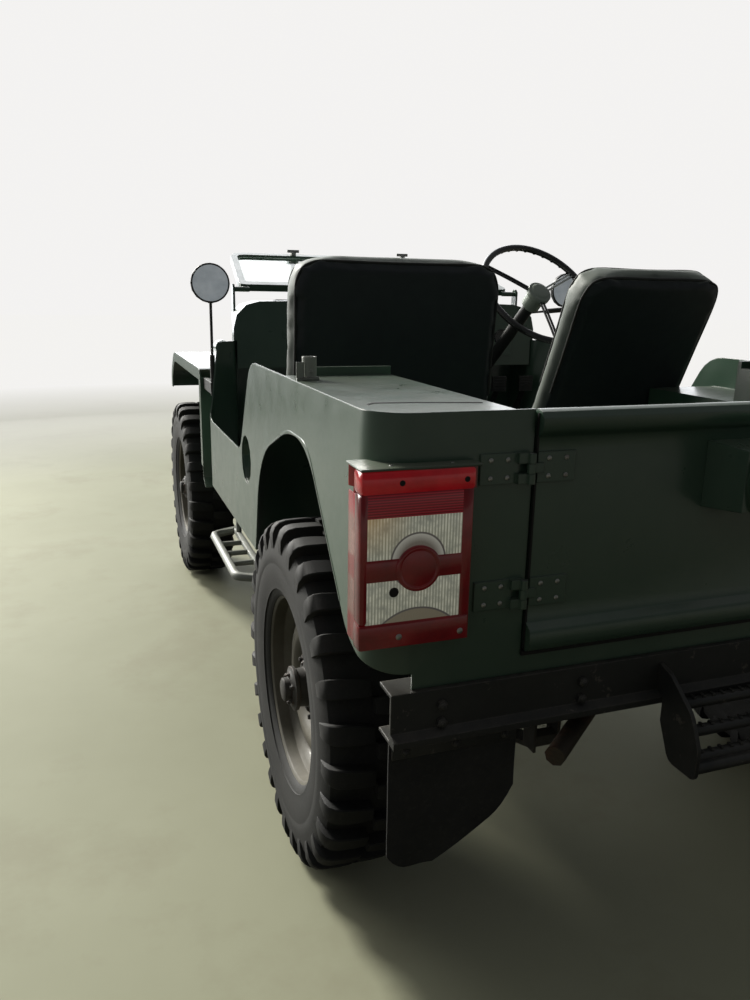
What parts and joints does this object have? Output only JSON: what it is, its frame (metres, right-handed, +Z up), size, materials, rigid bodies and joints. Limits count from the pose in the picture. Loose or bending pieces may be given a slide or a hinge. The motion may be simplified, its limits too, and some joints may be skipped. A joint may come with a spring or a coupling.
{
  "type": "open four-wheel-drive army car",
  "caption": "Open army car with flat fenders, a folded windscreen, bench-like seats, a side-hinged tailgate and lugged tyres; wheels roll and steer.",
  "frame": {"origin": "on the ground, under the middle of the car's length and width", "axes": "+Z up, +X to the car's left side, -Y forwards"},
  "size_m": [1.532, 3.252, 1.4402],
  "materials": {
    "body_green": "dull army green paint, worn at the edges",
    "bumper_black": "black paint with chips",
    "step_grey": "silver grey paint",
    "chassis_paint": "dusty dark paint",
    "wheel_paint": "dusty olive paint",
    "tyre_rubber": "worn black rubber with dust",
    "flap_rubber": "matt black",
    "seat_vinyl": "dark vinyl with soft shine",
    "lamp_red": "clear red plastic",
    "lamp_glass": "ribbed glass",
    "window_glass": "clear",
    "control_black": "black",
    "engine_iron": "oily cast iron",
    "exhaust_steel": "rusty steel"
  },
  "bodies": {
    "root": {"bow_sockets": "step_grey", "chassis_frame": "chassis_paint", "controls": "control_black", "cowl": "body_green", "driver_seat": "seat_vinyl", "engine_block": "engine_iron", "exhaust": "exhaust_steel", "fender_lamps": "body_green", "filler": "body_green", "front_axle": "chassis_paint", "front_bumper": "bumper_black", "front_fenders": "body_green", "fuel_tank": "chassis_paint", "gearbox": "engine_iron", "grille": "body_green", "headlamps": "lamp_glass", "hood": "body_green", "leaf_springs": "chassis_paint", "mirrors": "bumper_black", "mud_flaps": "flap_rubber", "passenger_seat": "seat_vinyl", "prop_shafts": "chassis_paint", "rear_axle": "chassis_paint", "rear_bumper": "bumper_black", "rear_cushion": "seat_vinyl", "rear_step": "bumper_black", "screen_rests": "body_green", "seat_frames": "bumper_black", "side_steps": "step_grey", "steering_column": "control_black", "tail_lamps": "lamp_red", "tub": "body_green"},
    "knuckle_left": {"knuckle_left": "chassis_paint"},
    "knuckle_right": {"knuckle_right": "chassis_paint"},
    "tie_rod": {"tie_rod": "chassis_paint"},
    "drag_link": {"drag_link": "chassis_paint"},
    "pitman_arm": {"pitman_arm": "chassis_paint"},
    "steering_wheel": {"steering_wheel": "control_black"},
    "wheel_front_left": {"wheel_front_left": "wheel_paint", "tyre_front_left": "tyre_rubber"},
    "wheel_front_right": {"wheel_front_right": "wheel_paint", "tyre_front_right": "tyre_rubber"},
    "wheel_rear_left": {"wheel_rear_left": "wheel_paint", "tyre_rear_left": "tyre_rubber"},
    "wheel_rear_right": {"wheel_rear_right": "wheel_paint", "tyre_rear_right": "tyre_rubber"},
    "tailgate": {"tailgate": "body_green", "wheel_carrier": "body_green"},
    "windscreen": {"windscreen_frame": "body_green", "windscreen_glass": "window_glass"}
  },
  "joints": [
    {"name": "steer_left", "type": "hinge", "parent": "root", "child": "knuckle_left", "pos_m": [0.54, -1.056, 0.385], "axis": [0, 0, 1], "range_deg": [-23, 23]},
    {"name": "steer_right", "type": "hinge", "parent": "root", "child": "knuckle_right", "pos_m": [-0.54, -1.056, 0.385], "axis": [0, 0, 1], "range_deg": [-23, 23]},
    {"name": "tie_rod_end", "type": "hinge", "parent": "knuckle_left", "child": "tie_rod", "pos_m": [0.5, -0.921, 0.292], "axis": [0, 0, 1], "range_deg": [-23, 23]},
    {"name": "drag_link_end", "type": "hinge", "parent": "knuckle_right", "child": "drag_link", "pos_m": [-0.401, -1.056, 0.455], "axis": [0, 0, 1], "range_deg": [-23, 23]},
    {"name": "pitman_swing", "type": "hinge", "parent": "root", "child": "pitman_arm", "pos_m": [-0.381, -0.726, 0.594], "axis": [1, 0, 0], "range_deg": [-23, 23]},
    {"name": "steering_turn", "type": "hinge", "parent": "root", "child": "steering_wheel", "pos_m": [-0.412, 0.026, 1.268], "axis": [-0.0778, 0.7394, 0.6687], "range_deg": [-322, 322]},
    {"name": "roll_front_left", "type": "hinge", "parent": "knuckle_left", "child": "wheel_front_left", "pos_m": [0.655, -1.056, 0.385], "axis": [1, 0, 0], "continuous": true},
    {"name": "roll_front_right", "type": "hinge", "parent": "knuckle_right", "child": "wheel_front_right", "pos_m": [-0.655, -1.056, 0.385], "axis": [1, 0, 0], "continuous": true},
    {"name": "roll_rear_left", "type": "hinge", "parent": "root", "child": "wheel_rear_left", "pos_m": [0.655, 0.976, 0.385], "axis": [1, 0, 0], "continuous": true},
    {"name": "roll_rear_right", "type": "hinge", "parent": "root", "child": "wheel_rear_right", "pos_m": [-0.655, 0.976, 0.385], "axis": [1, 0, 0], "continuous": true},
    {"name": "tailgate_swing", "type": "hinge", "parent": "root", "child": "tailgate", "pos_m": [0.462, 1.51, 0.88], "axis": [0, 0, -1], "range_deg": [0, 110]},
    {"name": "windscreen_fold", "type": "hinge", "parent": "root", "child": "windscreen", "pos_m": [0, -0.462, 1.264], "axis": [-1, 0, 0], "range_deg": [0, 78]}
  ],
  "couplings": [
    {"joint": "steer_right", "follows": "steer_left", "ratio": 1},
    {"joint": "tie_rod_end", "follows": "steer_left", "ratio": -1},
    {"joint": "drag_link_end", "follows": "steer_left", "ratio": -1},
    {"joint": "pitman_swing", "follows": "steer_left", "ratio": 1},
    {"joint": "steering_turn", "follows": "steer_left", "ratio": 14}
  ]
}
